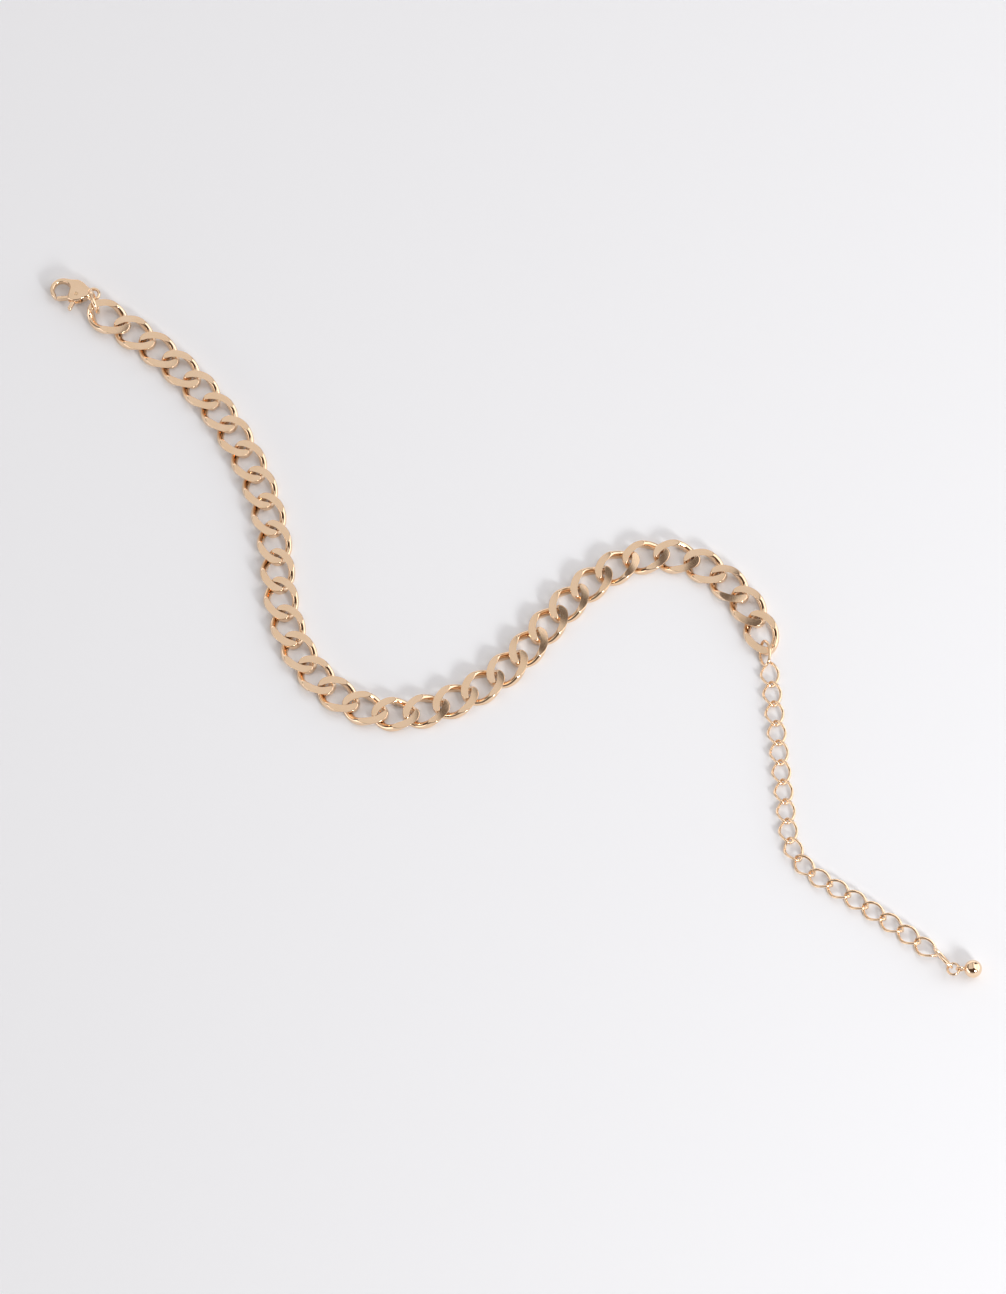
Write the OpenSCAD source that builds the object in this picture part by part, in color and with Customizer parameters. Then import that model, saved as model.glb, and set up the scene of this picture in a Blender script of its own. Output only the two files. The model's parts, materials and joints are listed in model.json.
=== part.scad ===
// Chain necklace: a ground flat curb chain with a trigger clasp at one end
// and an extender of open links, closed by a small ball, at the other.
// It lies in a slack S on a flat surface at z = 0. Units are millimetres.

/* [Curb link] */
// Outer length of a curb link, end to end
curb_len = 13.2; // [12.4:0.1:16]
// Outer width of a curb link
curb_wid = 9.6; // [8.6:0.1:12]
// Width of the oval wire that a curb link is bent from
curb_wire_w = 1.9; // [1.6:0.1:2.2]
// Height of that wire, which stands on edge before it is twisted
curb_wire_h = 3.2; // [2.4:0.1:3.2]
// Angle that each end of a curb link is twisted out of the flat
curb_twist = 55; // [50:1:60]
// Thickness left once both faces are ground flat
ground_thk = 2.9; // [2.6:0.1:3.4]
// Play between two curb links, as the chain lies
curb_play = 0.95; // [0.7:0.05:1.2]

/* [Extender link] */
// Outer length of an extender link, end to end
ext_len = 7.8; // [7:0.1:10]
// Outer width of an extender link
ext_wid = 5.5; // [4.8:0.1:7]
// Diameter of the extender's wire
ext_wire = 0.8; // [0.5:0.05:0.9]
// Angle that each end of an extender link is twisted
ext_twist = 42; // [38:1:50]
// Play between two extender links pulled apart
ext_play = 0.4; // [0.3:0.05:0.6]

/* [Rings and ball] */
// Outer diameter of the jump ring that holds the clasp
clasp_ring_dia = 7; // [6.8:0.1:8.6]
// Wire diameter of that ring
clasp_ring_wire = 1; // [0.7:0.05:1.1]
// Outer diameter of the small jump ring at the ball
ball_ring_dia = 3.9; // [3.6:0.1:5]
// Wire diameter of the small jump ring
ball_ring_wire = 0.7; // [0.5:0.05:0.8]
// Diameter of the end ball
ball_dia = 4.8; // [4:0.1:8]
// Outer diameter of the ring soldered to the ball
ball_loop_dia = 2.6; // [2.4:0.1:3.2]
// Wire diameter of that soldered ring
ball_loop_wire = 0.6; // [0.4:0.05:0.65]

/* [Clasp] */
// Distance from the eye's centre to the centre of the hook's bow
clasp_reach = 8.7; // [8.2:0.1:11]
// Thickness of the clasp body
clasp_thk = 3.2; // [2.8:0.1:4.2]
// Outer radius of the hook's bow
bow_r = 3.3; // [3.1:0.1:4]
// Radius of the opening inside the bow
mouth_r = 2.15; // [1.8:0.05:2.3]
// Radius of the body round the pivot
body_r = 3.15; // [3:0.05:3.6]
// Thickness of the lever
lever_thk = 1.4; // [1.2:0.1:1.8]
// Radius of the rivet that the lever turns on
pin_r = 0.45; // [0.35:0.05:0.55]
// Diameter of the spring wire
spring_wire = 0.18; // [0.12:0.02:0.2]
// Outer radius of the clasp's eye
eye_r = 2; // [1.8:0.05:2.4]
// Thickness of the eye
eye_thk = 1.1; // [0.8:0.1:1.4]
// Radius of the hole in the eye
eye_hole_r = 1.15; // [1:0.05:1.3]

/* [Hidden] */
curb_count = 34;
ext_count = 20;
run_gap = 0.05; // radial clearance of the lever on its rivet
side_gap = 0.05; // clearance on each side of the lever in its slot
curb_form = 2.2; // exponent of the curb link's outline, 2 is an ellipse
ext_form = 1.8; // exponent of the extender link's outline
curb_rings = 24;
curb_sides = 8;
ext_rings = 20;
ext_sides = 6;

// Slack S that the chain lies in. Each row is a number of joints and the
// degrees that the heading turns at each of them, anticlockwise positive.
first_heading = -36;
curb_bends = [[11, -5], [2, 6], [3, 12], [3, 18], [4, 9], [2, -2], [2, -9], [3, -21], [3, -13]];
ext_heading = -89;
ext_bends = [[9, 0], [3, 17], [6, -1], [1, -12]];
ring_heading = -25;
ball_heading = -5;
clasp_heading = 164;
// Place of the first curb link that centres the whole piece on the origin
start = [-101.4, 102.6];

curb_pitch = curb_len - 2 * curb_wire_w - curb_play;
ext_pitch = ext_len - 2 * ext_wire - ext_play;

// The first curb link is lifted a little by the clasp's ring.
first_tilt = 5;
first_clear = 0.025; // under the low end of the tilted first link
first_rise = curb_len / 2 * sin(first_tilt) + first_clear;

// The ring stands almost upright, with the link and the eye inside it.
ring_turn = 10;
ring_lean = 10;
ring_mid = (clasp_ring_dia - clasp_ring_wire) / 2;
ring_centre_z = ring_mid * cos(ring_lean) + clasp_ring_wire / 2;
ring_along = 0.1; // from the first link's end to the ring's middle, along the link
ring_slack = 0.35; // free space between the ring and the side of the link's wire
ring_side = ring_mid - curb_wire_w / 2 - ring_slack;
eye_slack = 0.25; // from the ring's wire to the eye's middle, level and across
clasp_tilt = 4; // the eye is held up, and the bow rests on the surface
bow_clear = 0.013; // under the low end of the bow
eye_lift = (clasp_reach + bow_r) * sin(clasp_tilt) + bow_clear;

// The extender's first link stands on edge, hooked through the last curb link.
connector_roll = 55;
connector_side = -0.8;
connector_slack = 1.2; // free space behind the last curb link's wire
connector_reach = ext_len / 2 - ext_wire - curb_wire_w / 2 - connector_slack;
// The next link lies flat again, a little further on and to the left of it.
second_reach = 0.1;
second_side = 0.65;
// The last extender link stands on its other edge.
last_roll = -68;
last_side = 0.7;
tail_play = 0.15;
ball_side_play = 0.1;

function two_digits(k) = k < 10 ? str("0", k) : str(k);
function curb_name(k) = str("curb_link_", two_digits(k));
function ext_name(j) = str("extender_link_", two_digits(j));

// ---- Layout ----------------------------------------------------------

function dir(heading) = [cos(heading), sin(heading)];
function left(heading) = dir(heading + 90);

// Degrees turned over the first n joints of a list of bends
function turned(bends, n, i = 0) =
  i == len(bends) || n <= 0 ? 0
  : min(n, bends[i][0]) * bends[i][1] + turned(bends, n - bends[i][0], i + 1);

function curb_dir(k) = dir(first_heading + turned(curb_bends, k - 1));
function curb_xy(k) =
  k == 1 ? start : curb_xy(k - 1) + curb_pitch / 2 * (curb_dir(k - 1) + curb_dir(k));

last_heading = first_heading + turned(curb_bends, curb_count - 1);
last_apex = curb_xy(curb_count) + (curb_len - curb_wire_w) / 2 * dir(last_heading);

function ext_turn(j) = ext_heading + turned(ext_bends, j - 1);
function ext_step(j) = ext_pitch / 2 * (dir(ext_turn(j - 1)) + dir(ext_turn(j)));
function ext_xy(j) =
  j == 1 ? last_apex + connector_reach * dir(ext_heading) + connector_side * left(ext_heading)
  : j == 2 ? ext_xy(1) + (ext_pitch + second_reach) * dir(ext_heading) + second_side * left(ext_heading)
  : j == ext_count ? ext_xy(j - 1) + ext_step(j) + last_side * left(ext_turn(j))
  : ext_xy(j - 1) + ext_step(j);

// Height of an untwisted link's middle when it stands on edge at a roll
function edge_rise(roll) = (ext_wid - ext_wire) / 2 * sin(abs(roll)) + ext_wire / 2;

// Height of a twisted link's middle when it lies flat
ext_long = (ext_len - ext_wire) / 2;
ext_wide = (ext_wid - ext_wire) / 2;
twisted_rise = ext_wire / 2 + max([
  for (t = [0 : 5 : 90])
    let (c = oval(t, ext_long, ext_wide, ext_form)) c[1] * sin(ext_twist * c[0] / ext_long)
]);

tail_xy = ext_xy(ext_count);
ring_step = (ext_len + ball_ring_dia) / 2 - ext_wire - ball_ring_wire - tail_play;
ball_ring_xy = tail_xy + ext_len / 2 * dir(ext_turn(ext_count))
  + (ring_step - ext_len / 2) * dir(ring_heading);
loop_step = (ball_ring_dia + ball_loop_dia) / 2 - ball_ring_wire - ball_loop_wire - ball_side_play;
loop_xy = ball_ring_xy + loop_step * dir(ball_heading);
ball_xy = loop_xy + (ball_dia + ball_loop_dia - ball_loop_wire) / 2 * dir(ball_heading);

first_apex = start - (curb_len - curb_wire_w) / 2 * dir(first_heading);
ring_xy = first_apex + ring_along * dir(first_heading) + ring_side * left(first_heading);
eye_xy = ring_xy + (ring_mid - eye_slack) * left(ring_turn) + eye_slack * dir(ring_turn);
clasp_eye = concat(eye_xy, [clasp_thk / 2 + eye_lift]);

// ---- Bent and twisted links ------------------------------------------

function power(v, e) = sign(v) * pow(abs(v), e);
function oval(t, a, b, form) = [a * power(cos(t), 2 / form), b * power(sin(t), 2 / form)];
function unit(v) = v / norm(v);
function outward(t, a, b, form) =
  let (u = unit(oval(t + 2, a, b, form) - oval(t - 2, a, b, form))) [u[1], -u[0]];
function twist_about_x(p, rate) =
  let (c = cos(rate * p[0]), s = sin(rate * p[0])) [p[0], p[1] * c + p[2] * s, p[2] * c - p[1] * s];
function ground(p, half) = [p[0], p[1], max(-half, min(half, p[2]))];

// One closed link: an oval wire along an oval, its two ends twisted opposite
// ways about the chain's line, and its faces ground flat at half a thickness.
module bent_link(length, width, wire_w, wire_h, form, twist, half, rings, sides) {
  a = (length - wire_w) / 2;
  b = (width - wire_w) / 2;
  points = [
    for (i = [0 : rings - 1])
      let (t = 360 * (i + 0.5) / rings, c = oval(t, a, b, form), n = outward(t, a, b, form))
      for (j = [0 : sides - 1])
        let (q = 360 * (j + 0.5) / sides, u = wire_w / 2 * cos(q), v = wire_h / 2 * sin(q))
        ground(twist_about_x([c[0] + n[0] * u, c[1] + n[1] * u, v], twist / a), half)
  ];
  faces = [
    for (i = [0 : rings - 1])
      for (j = [0 : sides - 1])
        let (
          i2 = (i + 1) % rings, j2 = (j + 1) % sides,
          near = i * sides + j, near_next = i * sides + j2,
          far = i2 * sides + j, far_next = i2 * sides + j2
        )
        each [[near, near_next, far_next], [near, far_next, far]]
  ];
  polyhedron(points, faces, convexity = 6);
}

module wire_ring(outer_dia, wire) {
  rotate_extrude($fn = 48)
    translate([(outer_dia - wire) / 2, 0])
      circle(d = wire, $fn = 24);
}

module curb_link(k) {
  first = k == 1;
  color("#E3BFA0")
    translate(concat(curb_xy(k), [ground_thk / 2 + (first ? first_rise : 0)]))
      rotate([0, first ? first_tilt : 0, first_heading + turned(curb_bends, k - 1)])
        bent_link(curb_len, curb_wid, curb_wire_w, curb_wire_h, curb_form, curb_twist,
          ground_thk / 2, curb_rings, curb_sides);
}

module extender_link(j) {
  on_edge = j == 1 || j == ext_count;
  roll = j == 1 ? connector_roll : j == ext_count ? last_roll : 0;
  color("#E8C4A2")
    translate(concat(ext_xy(j), [on_edge ? edge_rise(roll) : twisted_rise]))
      rotate([roll, 0, ext_turn(j)])
        bent_link(ext_len, ext_wid, ext_wire, ext_wire, ext_form, on_edge ? 0 : ext_twist,
          ext_wid, ext_rings, ext_sides);
}

// ---- Rings and ball --------------------------------------------------

module clasp_ring() {
  color("#E5BE96")
    translate(concat(ring_xy, [ring_centre_z]))
      rotate([0, 90 - ring_lean, ring_turn])
        wire_ring(clasp_ring_dia, clasp_ring_wire);
}

module ball_ring() {
  color("#E5BE96")
    translate(concat(ball_ring_xy, [ball_dia / 2]))
      rotate([0, 0, ring_heading])
        wire_ring(ball_ring_dia, ball_ring_wire);
}

module end_ball() {
  color("#D8B494") {
    translate(concat(ball_xy, [ball_dia / 2]))
      sphere(d = ball_dia, $fn = 64);
    translate(concat(loop_xy, [ball_dia / 2]))
      rotate([90, 0, ball_heading])
        wire_ring(ball_loop_dia, ball_loop_wire);
  }
}

// ---- Clasp, drawn flat with its eye at the origin and its bow along +X ----

pivot_side = 1.1;
pivot = [clasp_reach / 2, pivot_side];
belly_x = clasp_reach / 2 + 0.5; // middle of the round body
spine_w = 1; // width of the straight back between body and bow
spine_inset = 0.2;
neck_w = 2; // width of the neck at the eye
neck_from = eye_hole_r + 0.2;
neck_to = belly_x - body_r / 2;
neck_end_w = 1.65 * body_r;
slot_thk = lever_thk + 2 * side_gap;
slot_margin = 0.3; // round the lever's hub
slot_end = clasp_reach - 0.6;
gate_r = 0.5;
gate_root = pivot + [0.6, 0.6];
gate_side = 0.6; // where the opening in the bow starts, from the middle line
gate_start = clasp_reach / 2 + 2.3;
bow_mid_r = (bow_r + mouth_r) / 2;
gate_gap = 0.1; // between the gate's end and the bow's tip
gate_end = [clasp_reach, 0] + bow_mid_r * dir(80);
gate_reach = norm(gate_end - pivot) + gate_r; // from the pivot to the gate's end
hub_r = 1.5;
tab_end = [clasp_reach / 2 + 1.2, body_r + 2];
recess_r = 1.3;
recess_floor = -0.1;
rivet_fit = 0.02; // clearance of the rivet in the body
spring_gap = 0.2; // between the rivet and the spring
spring_turns = 3;
spring_pitch = spring_wire + 0.04;
spring_base = recess_floor + spring_wire / 2 + 0.07;
round_fn = 64;

module place_clasp() {
  translate(clasp_eye)
    rotate([0, clasp_tilt, clasp_heading])
      children();
}

// A straight bar with round ends between two points of the plane
module bar(from, to, r) {
  step = to - from;
  translate(from)
    circle(r, $fn = 32);
  translate(to)
    circle(r, $fn = 32);
  translate(from)
    rotate(atan2(step[1], step[0]))
      translate([0, -r])
        square([norm(step), 2 * r]);
}

module slab(thickness) {
  translate([0, 0, -thickness / 2])
    linear_extrude(thickness)
      children();
}

// A hole right through the clasp at the lever's pivot
module pivot_hole(r) {
  translate([pivot[0], pivot[1], -clasp_thk])
    cylinder(r = r, h = 2 * clasp_thk, $fn = 48);
}

module clasp_outline() {
  difference() {
    union() {
      translate([clasp_reach, 0])
        circle(bow_r, $fn = round_fn);
      translate([belly_x, 0])
        circle(body_r, $fn = round_fn);
      polygon([
        [neck_from, -neck_w / 2],
        [neck_to, -neck_end_w / 2],
        [neck_to, neck_end_w / 2],
        [neck_from, neck_w / 2]
      ]);
      translate([clasp_reach / 2, spine_inset - bow_r])
        square([clasp_reach / 2, spine_w]);
    }
    translate([clasp_reach, 0])
      circle(mouth_r, $fn = round_fn);
    // the gap in the bow that the lever's gate closes, cut round the pivot
    intersection() {
      translate(pivot)
        circle(gate_reach + gate_gap, $fn = 96);
      translate([gate_start, gate_side])
        square([clasp_reach, bow_r + 1]);
    }
  }
}

// The lever's slot, open on the side of the gate and the tab
module lever_slot() {
  low = pivot - [hub_r + slot_margin, hub_r + slot_margin];
  slab(slot_thk)
    translate(low)
      square([slot_end - low[0], 2 * bow_r + 2]);
}

module clasp_body() {
  color("#E0BB96")
    place_clasp() {
      difference() {
        slab(clasp_thk)
          clasp_outline();
        lever_slot();
        pivot_hole(pin_r + rivet_fit);
      }
      difference() {
        slab(eye_thk)
          circle(eye_r, $fn = 48);
        translate([0, 0, -clasp_thk])
          cylinder(r = eye_hole_r, h = 2 * clasp_thk, $fn = 48);
      }
    }
}

module clasp_lever() {
  color("#DDB48C")
    place_clasp()
      difference() {
        slab(lever_thk)
          union() {
            translate(pivot)
              circle(hub_r, $fn = 48);
            bar(gate_root, gate_end, gate_r);
            bar(pivot, tab_end, gate_r);
          }
        pivot_hole(pin_r + run_gap);
        // round recess that holds the spring
        translate([pivot[0], pivot[1], recess_floor])
          cylinder(r = recess_r, h = clasp_thk, $fn = 48);
      }
}

module clasp_pin_and_spring() {
  coil_dia = 2 * (pin_r + spring_gap + spring_wire);
  color("#C9A482")
    place_clasp()
      translate([pivot[0], pivot[1], 0]) {
        translate([0, 0, -clasp_thk / 2])
          cylinder(r = pin_r, h = clasp_thk, $fn = 48);
        // the turns of the torsion spring
        for (turn = [0 : spring_turns - 1])
          translate([0, 0, spring_base + spring_pitch * turn])
            wire_ring(coil_dia, spring_wire);
      }
}

clasp_body();
clasp_lever();
clasp_pin_and_spring();
clasp_ring();
for (k = [1 : curb_count])
  curb_link(k);
for (j = [1 : ext_count])
  extender_link(j);
ball_ring();
end_ball();
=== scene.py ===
# %% [markdown]
# # A gold-plated curb chain necklace
#
# The necklace is a flat curb chain with a trigger clasp on one end, and on the other an
# extender of thin open links that a small ball closes. Its size, its places and its
# joints come from a imported CAD model. This notebook adds the looks: finely bent and
# ground links, a cast clasp, and polished pale rose gold.
#
# First the CAD model is loaded, and its box is kept. Its box is kept, because nothing
# made here may be larger.

# %% The frame
import json
import math

import bpy
import numpy as np
from mathutils import Matrix, Vector


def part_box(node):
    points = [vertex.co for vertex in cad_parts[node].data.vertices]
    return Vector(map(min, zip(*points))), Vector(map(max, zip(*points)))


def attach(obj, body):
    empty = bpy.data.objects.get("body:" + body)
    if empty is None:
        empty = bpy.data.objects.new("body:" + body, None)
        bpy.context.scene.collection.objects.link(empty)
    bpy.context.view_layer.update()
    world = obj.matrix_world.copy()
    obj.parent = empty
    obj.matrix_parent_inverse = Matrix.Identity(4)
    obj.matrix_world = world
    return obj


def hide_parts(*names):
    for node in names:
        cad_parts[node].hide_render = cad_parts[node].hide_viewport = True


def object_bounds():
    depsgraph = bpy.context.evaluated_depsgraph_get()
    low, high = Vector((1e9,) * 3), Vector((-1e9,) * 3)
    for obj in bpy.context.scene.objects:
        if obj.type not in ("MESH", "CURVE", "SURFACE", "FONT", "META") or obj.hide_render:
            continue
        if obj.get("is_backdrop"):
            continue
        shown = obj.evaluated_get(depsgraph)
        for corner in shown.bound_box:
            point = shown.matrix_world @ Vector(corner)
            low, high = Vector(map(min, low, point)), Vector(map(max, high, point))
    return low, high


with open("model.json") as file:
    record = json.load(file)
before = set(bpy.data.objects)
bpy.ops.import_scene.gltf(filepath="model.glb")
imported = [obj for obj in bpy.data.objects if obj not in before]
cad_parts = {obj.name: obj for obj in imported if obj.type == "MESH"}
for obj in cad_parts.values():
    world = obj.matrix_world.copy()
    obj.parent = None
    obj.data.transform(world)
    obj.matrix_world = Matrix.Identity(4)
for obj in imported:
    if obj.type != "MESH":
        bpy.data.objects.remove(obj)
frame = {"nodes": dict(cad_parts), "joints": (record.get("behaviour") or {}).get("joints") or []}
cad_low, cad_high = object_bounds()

MM = 0.001
scene = bpy.context.scene
print("CAD box, mm:", [round(v / MM, 1) for v in (cad_high - cad_low)])

# %% [markdown]
# ## Camera
#
# A flat object is best seen from high above, a little towards its front. A long lens
# far away draws every link at the same size, as a catalogue picture does. A shorter
# lens close by would also frame the chain, but its far end would look smaller.

# %% Camera
CAMERA_HEIGHT = math.radians(65.5)
CAMERA_ROLL = math.radians(-5.2)
CAMERA_DISTANCE = 4.97
LENS_MM = 512
SENSOR_MM = 36
CLIP_END = 50
AIM_OFFSET_MM = (-2.8, -6.0, -2.0)  # from the middle of the box to the middle of the picture
AIM = (cad_low + cad_high) / 2 + Vector(AIM_OFFSET_MM) * MM

right = Vector((1, 0, 0))
up = Vector((0, math.sin(CAMERA_HEIGHT), math.cos(CAMERA_HEIGHT)))
back = Vector((0, -math.cos(CAMERA_HEIGHT), math.sin(CAMERA_HEIGHT)))
rolled_right = math.cos(CAMERA_ROLL) * right + math.sin(CAMERA_ROLL) * up
rolled_up = math.cos(CAMERA_ROLL) * up - math.sin(CAMERA_ROLL) * right

camera = bpy.data.objects.new("camera", bpy.data.cameras.new("camera"))
scene.collection.objects.link(camera)
camera.data.sensor_fit = "VERTICAL"
camera.data.sensor_height = SENSOR_MM
camera.data.lens = LENS_MM
camera.data.clip_end = CLIP_END
turn = Matrix((rolled_right, rolled_up, back)).transposed().to_4x4()
camera.matrix_world = Matrix.Translation(AIM + CAMERA_DISTANCE * back) @ turn
scene.camera = camera
print("camera at, m:", [round(v, 2) for v in camera.matrix_world.translation])

# %% [markdown]
# ## Helpers
#
# Colours are written as sRGB hex values, the way a colour picker gives them, and Blender
# wants them linear. One function turns one into the other. Another adds a node to any
# tree, with its settings and its links, so that a tree reads as a list of steps.

# %% Colour and node helpers
def linear(hex_colour):
    """A linear RGBA colour from an sRGB hex value such as #F2D9C0."""
    channels = [int(hex_colour[i:i + 2], 16) / 255 for i in (1, 3, 5)]
    return [c / 12.92 if c <= 0.04045 else ((c + 0.055) / 1.055) ** 2.4 for c in channels] + [1.0]


def add(tree, kind, inputs=None, **settings):
    """Add a node. An input that is given a socket is linked, and any other is set."""
    made = tree.nodes.new(kind)
    for name, value in settings.items():
        setattr(made, name, value)
    for key, value in (inputs or {}).items():
        if isinstance(value, bpy.types.NodeSocket):
            tree.links.new(value, made.inputs[key])
        else:
            made.inputs[key].default_value = value
    return made


# %% [markdown]
# ## Floor and studio light
#
# Polished metal has hardly any colour of its own to show: it mirrors the room. So the
# lights are large soft panels placed where the chain's flat faces look. The flats lie
# level, so they mirror a spot high up behind the chain. A mid grey ceiling panel there
# gives them their even beige, the dark room round it gives the brown bands, and bright
# panels on the right give the white ones. A small bright box low in front makes the
# soft shadows. An even sky would light the floor as well, but make the metal look dull.

# %% Floor
FLOOR_HALF = 3.0
FLOOR_GAP = 0.02 * MM

floor_mesh = bpy.data.meshes.new("floor")
corners = [(FLOOR_HALF * x, FLOOR_HALF * y, -FLOOR_GAP) for x, y in ((-1, -1), (1, -1), (1, 1), (-1, 1))]
floor_mesh.from_pydata(corners, [], [(0, 1, 2, 3)])
floor = bpy.data.objects.new("floor", floor_mesh)
scene.collection.objects.link(floor)
floor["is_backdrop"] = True

board = bpy.data.materials.new("matt_white_board")
board.use_nodes = True
board_shader = board.node_tree.nodes["Principled BSDF"]
board_shader.inputs["Base Color"].default_value = linear("#EEF0F4")
board_shader.inputs["Roughness"].default_value = 0.7
board_shader.inputs["Specular IOR Level"].default_value = 0.25
floor_mesh.materials.append(board)

# %% Light panels
# Each panel: where its middle is, the point it faces, its two sides in metres, and its
# radiance, where 1 is a white that just fills the film.
PANELS = {
    "ceiling_left": ((-0.59, 0.50, 0.85), (-0.59, 0.50, 0), (1.36, 1.9), 0.70),
    "ceiling_right": ((0.40, 0.50, 0.86), (0.40, 0.50, 0), (0.46, 1.6), 1.0),
    "back_wall": ((-0.2, 1.6, 0.42), (-0.2, 0, 0.42), (2.2, 0.84), 0.75),
    "right_panel": ((0.80, -0.05, 0.40), (0, -0.05, 0), (1.1, 1.3), 1.5),
    "left_panel": ((-1.1, -0.5, 0.2), (0, 0, 0), (1.3, 0.4), 1.8),
    "key_box": ((0.56, -0.90, 0.50), (0, 0, 0), (0.24, 0.24), 39.0),
}


def light_panel(name, place, target, size, radiance):
    """A soft rectangular light. A panel of area A sends out radiance L at pi * L * A watts."""
    lamp = bpy.data.lights.new(name, "AREA")
    lamp.shape = "RECTANGLE"
    lamp.size, lamp.size_y = size
    lamp.energy = math.pi * radiance * size[0] * size[1]
    panel = bpy.data.objects.new(name, lamp)
    scene.collection.objects.link(panel)
    aim = Vector(target) - Vector(place)
    panel.location = place
    panel.rotation_euler = aim.to_track_quat("-Z", "Y").to_euler()
    panel.visible_camera = False


for name, (place, target, size, radiance) in PANELS.items():
    light_panel(name, place, target, size, radiance)
print("light panels:", len(PANELS))

# %% Room
# The room is pale at the horizon and fades to dark brown about twenty degrees up, as
# white boards stood round the table would make it. That puts the bright rims on the links.
HORIZON = 0.38
PALE_BOARDS = "#F0EEEE"
DARK_ROOM = "#54453B"

room = bpy.data.worlds.new("studio_room")
scene.world = room
room.use_nodes = True
sky = room.node_tree
sky.nodes.clear()
direction = add(sky, "ShaderNodeTexCoord").outputs["Generated"]
height = add(sky, "ShaderNodeSeparateXYZ", {0: direction}).outputs["Z"]
above = add(sky, "ShaderNodeMapRange", {0: height, 1: 0.0, 2: HORIZON}, interpolation_type="SMOOTHSTEP")
shades = {0: above.outputs[0], 6: linear(PALE_BOARDS), 7: linear(DARK_ROOM)}
tone = add(sky, "ShaderNodeMix", shades, data_type="RGBA")
glow = add(sky, "ShaderNodeBackground", {"Color": tone.outputs[2], "Strength": 1.0})
add(sky, "ShaderNodeOutputWorld", {0: glow.outputs[0]})

scene.view_settings.view_transform = "Standard"

# %% [markdown]
# ## Pale rose gold
#
# The chain is brass with a thin bright plate of pale rose gold, between champagne and
# pink. One function makes every finish from the same plate, because all the pieces hang
# in one plating bath. What differs is the surface under the plate: drawn wire is bright,
# the ground faces keep a haze from the lapping wheel, and a casting is a little wavy.
# A plated metal could be one flat shader, but then each link would mirror the room
# perfectly and look like computer glass.

# %% Plated finishes
PLATE = "#F8DDC1"
DEEP_PLATE = "#F1CFA9"
PATCH_MM = 4.0
SMEAR_MM = 1.1
GRAIN_MM = 0.12


def plate(name, roughness, haze, waviness, wave_mm, colour=PLATE, deep=DEEP_PLATE, lapped=0.0):
    """Plated metal. haze is how much the roughness varies, waviness and lapped are depths in mm."""
    material = bpy.data.materials.new(name)
    material.use_nodes = True
    tree = material.node_tree
    shader = tree.nodes["Principled BSDF"]
    shader.inputs["Metallic"].default_value = 1.0
    where = add(tree, "ShaderNodeTexCoord").outputs["Object"]

    # The plate is a little thicker, and so deeper in colour, in patches a few mm wide.
    patches = add(tree, "ShaderNodeTexNoise", {"Vector": where, "Scale": 1 / (PATCH_MM * MM), "Detail": 3.0})
    shades = {0: patches.outputs[0], 6: linear(colour), 7: linear(deep)}
    mixed = add(tree, "ShaderNodeMix", shades, data_type="RGBA")
    tree.links.new(mixed.outputs[2], shader.inputs["Base Color"])

    # Handling leaves the gloss uneven, in smears about a millimetre across.
    smears = add(tree, "ShaderNodeTexNoise", {"Vector": where, "Scale": 1 / (SMEAR_MM * MM), "Detail": 4.0})
    gloss = add(tree, "ShaderNodeMapRange", {0: smears.outputs[0], 3: roughness, 4: roughness + haze})
    rough = gloss.outputs[0]

    # Buffing leaves low soft waves that bend the reflections.
    waves = add(tree, "ShaderNodeTexNoise", {"Vector": where, "Scale": 1 / (wave_mm * MM), "Detail": 1.0})
    dents = {"Height": waves.outputs[0], "Strength": 1.0, "Distance": waviness * MM}
    bump = add(tree, "ShaderNodeBump", dents)

    if lapped:
        # Only where the wheel touched: a fine grain, and more haze.
        own = add(tree, "ShaderNodeAttribute", attribute_name="link_place").outputs["Vector"]
        touched = add(tree, "ShaderNodeAttribute", attribute_name="lapped").outputs["Fac"]
        grain = add(tree, "ShaderNodeTexNoise", {"Vector": own, "Scale": 1 / (GRAIN_MM * MM), "Detail": 2.0})
        fine = add(tree, "ShaderNodeMath", {0: grain.outputs[0], 1: touched}, operation="MULTIPLY")
        scratches = {"Height": fine.outputs[0], "Distance": lapped * MM, "Normal": bump.outputs[0]}
        bump = add(tree, "ShaderNodeBump", scratches)
        extra = add(tree, "ShaderNodeMath", {0: touched, 1: haze, 2: rough}, operation="MULTIPLY_ADD")
        rough = extra.outputs[0]
    tree.links.new(rough, shader.inputs["Roughness"])
    tree.links.new(bump.outputs[0], shader.inputs["Normal"])
    return material


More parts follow.
